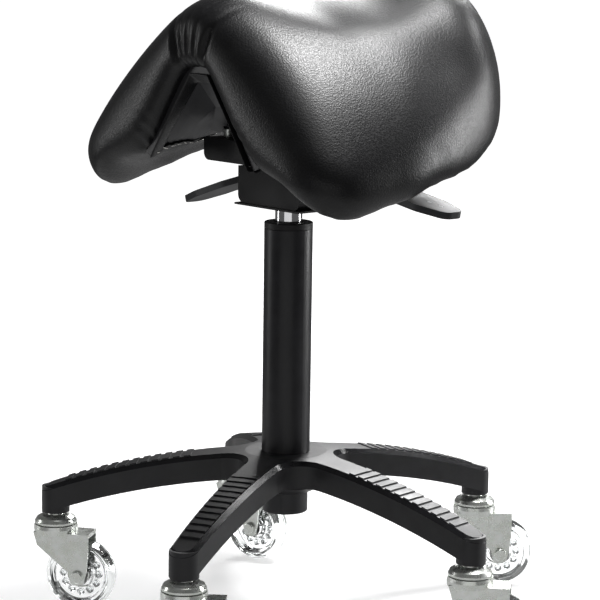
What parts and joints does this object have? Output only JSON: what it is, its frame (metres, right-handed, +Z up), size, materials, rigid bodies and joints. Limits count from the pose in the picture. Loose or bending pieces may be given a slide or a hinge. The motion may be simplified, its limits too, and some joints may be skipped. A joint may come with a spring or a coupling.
{
  "type": "adjustable swivel stool",
  "caption": "Height-adjustable swivel saddle stool with a tilting seat on a gas column, a star base with ribbed treads and clear-wheeled casters.",
  "frame": {"origin": "on the floor, under the axis of the gas column", "axes": "+Z up along the gas column, -Y towards the saddle's pommel (the front), so the sitter's right hand is at -X"},
  "size_m": [0.5312, 0.5366, 0.6775],
  "materials": {
    "black_casting": "satin black powder coat, glossier on the bevels",
    "black_tube": "satin black",
    "black_plastic": "matte moulded",
    "bearing_steel": "ground steel",
    "rubber": "matte",
    "chrome": "polished",
    "black_steel": "black powder coat",
    "zinc": "bright zinc plate with a slight yellow-green tint",
    "lever_plastic": "moulded, half gloss",
    "pan_plastic": "smooth satin",
    "foam": "moulded cold-cure foam",
    "leather": "black, fine pebble grain, half gloss",
    "clear_tyre": "clear soft polyurethane",
    "clear_hub": "clear hard plastic"
  },
  "bodies": {
    "base": {"star_base": "black_casting", "column_tube": "black_tube", "guide_sleeve": "black_plastic", "thrust_race_lower": "bearing_steel", "thrust_balls": "bearing_steel", "caster_a_stem": "zinc", "caster_b_stem": "zinc", "caster_c_stem": "zinc", "caster_d_stem": "zinc", "caster_e_stem": "zinc"},
    "spindle": {"piston_rod": "bearing_steel", "gas_piston": "bearing_steel", "rod_clip": "bearing_steel", "thrust_race_upper": "bearing_steel", "rubber_buffer": "rubber"},
    "lift": {"gas_cylinder": "chrome", "mechanism_housing": "black_steel", "housing_floor": "black_steel", "tilt_pins": "zinc", "lever_pins": "zinc"},
    "release_pin": {"release_pin": "bearing_steel"},
    "height_lever": {"height_lever": "lever_plastic"},
    "tilt_lever": {"tilt_lever": "lever_plastic"},
    "seat": {"seat_plate": "black_steel", "lock_sector": "zinc", "seat_pan": "pan_plastic", "seat_foam": "foam", "seat_cover": "leather", "pan_inserts": "zinc", "seat_bolts": "zinc"},
    "caster_a_swivel": {"caster_a_fork": "zinc", "caster_a_balls": "bearing_steel", "caster_a_axle_bolt": "zinc"},
    "caster_a_wheel": {"caster_a_tyre": "clear_tyre", "caster_a_wheel_hub": "clear_hub", "caster_a_bearings": "bearing_steel"},
    "caster_b_swivel": {"caster_b_fork": "zinc", "caster_b_balls": "bearing_steel", "caster_b_axle_bolt": "zinc"},
    "caster_b_wheel": {"caster_b_tyre": "clear_tyre", "caster_b_wheel_hub": "clear_hub", "caster_b_bearings": "bearing_steel"},
    "caster_c_swivel": {"caster_c_fork": "zinc", "caster_c_balls": "bearing_steel", "caster_c_axle_bolt": "zinc"},
    "caster_c_wheel": {"caster_c_tyre": "clear_tyre", "caster_c_wheel_hub": "clear_hub", "caster_c_bearings": "bearing_steel"},
    "caster_d_swivel": {"caster_d_fork": "zinc", "caster_d_balls": "bearing_steel", "caster_d_axle_bolt": "zinc"},
    "caster_d_wheel": {"caster_d_tyre": "clear_tyre", "caster_d_wheel_hub": "clear_hub", "caster_d_bearings": "bearing_steel"},
    "caster_e_swivel": {"caster_e_fork": "zinc", "caster_e_balls": "bearing_steel", "caster_e_axle_bolt": "zinc"},
    "caster_e_wheel": {"caster_e_tyre": "clear_tyre", "caster_e_wheel_hub": "clear_hub", "caster_e_bearings": "bearing_steel"}
  },
  "joints": [
    {"name": "seat_swivel", "type": "hinge", "parent": "base", "child": "spindle", "pos_m": [0, 0, 0.3], "axis": [0, 0, 1], "continuous": true},
    {"name": "seat_height", "type": "slide", "parent": "spindle", "child": "lift", "axis": [0, 0, 1], "range_m": [0, 0.195]},
    {"name": "height_lever_lift", "type": "hinge", "parent": "lift", "child": "height_lever", "pos_m": [-0.043, 0.036, 0.47], "axis": [0, 1, 0], "range_deg": [0, 7], "stiffness_Nm_per_rad": 6, "springref_deg": -6.88},
    {"name": "tilt_lever_lift", "type": "hinge", "parent": "lift", "child": "tilt_lever", "pos_m": [0.043, 0.036, 0.47], "axis": [0, -1, 0], "range_deg": [0, 7], "stiffness_Nm_per_rad": 6, "springref_deg": -6.88},
    {"name": "release_pin_slide", "type": "slide", "parent": "lift", "child": "release_pin", "axis": [0, 0, -1], "range_m": [0, 0.0055]},
    {"name": "seat_tilt", "type": "hinge", "parent": "lift", "child": "seat", "pos_m": [0, 0, 0.466], "axis": [1, 0, 0], "range_deg": [-4, 10]},
    {"name": "caster_a_turn", "type": "hinge", "parent": "base", "child": "caster_a_swivel", "pos_m": [0.2403, 0.03334, 0.08], "axis": [0, 0, 1], "continuous": true},
    {"name": "caster_a_roll", "type": "hinge", "parent": "caster_a_swivel", "child": "caster_a_wheel", "pos_m": [0.26159, 0.05153, 0.038], "axis": [-0.6494, 0.7604, 0], "continuous": true},
    {"name": "caster_b_turn", "type": "hinge", "parent": "base", "child": "caster_b_swivel", "pos_m": [0.04254, 0.23884, 0.08], "axis": [0, 0, 1], "continuous": true},
    {"name": "caster_b_roll", "type": "hinge", "parent": "caster_b_swivel", "child": "caster_b_wheel", "pos_m": [0.06017, 0.2606, 0.038], "axis": [-0.7771, 0.6293, 0], "continuous": true},
    {"name": "caster_c_turn", "type": "hinge", "parent": "base", "child": "caster_c_swivel", "pos_m": [-0.214, 0.11427, 0.08], "axis": [0, 0, 1], "continuous": true},
    {"name": "caster_c_roll", "type": "hinge", "parent": "caster_c_swivel", "child": "caster_c_wheel", "pos_m": [-0.18684, 0.12104, 0.038], "axis": [-0.2419, 0.9703, 0], "continuous": true},
    {"name": "caster_d_turn", "type": "hinge", "parent": "base", "child": "caster_d_swivel", "pos_m": [-0.17481, -0.16822, 0.08], "axis": [0, 0, 1], "continuous": true},
    {"name": "caster_d_roll", "type": "hinge", "parent": "caster_d_swivel", "child": "caster_d_wheel", "pos_m": [-0.15215, -0.15176, 0.038], "axis": [-0.5878, 0.809, 0], "continuous": true},
    {"name": "caster_e_turn", "type": "hinge", "parent": "base", "child": "caster_e_swivel", "pos_m": [0.10597, -0.21823, 0.08], "axis": [0, 0, 1], "continuous": true},
    {"name": "caster_e_roll", "type": "hinge", "parent": "caster_e_swivel", "child": "caster_e_wheel", "pos_m": [0.12577, -0.19843, 0.038], "axis": [-0.7071, 0.7071, 0], "continuous": true}
  ],
  "couplings": [
    {"joint": "release_pin_slide", "follows": "height_lever_lift", "m_per_rad": 0.043}
  ]
}
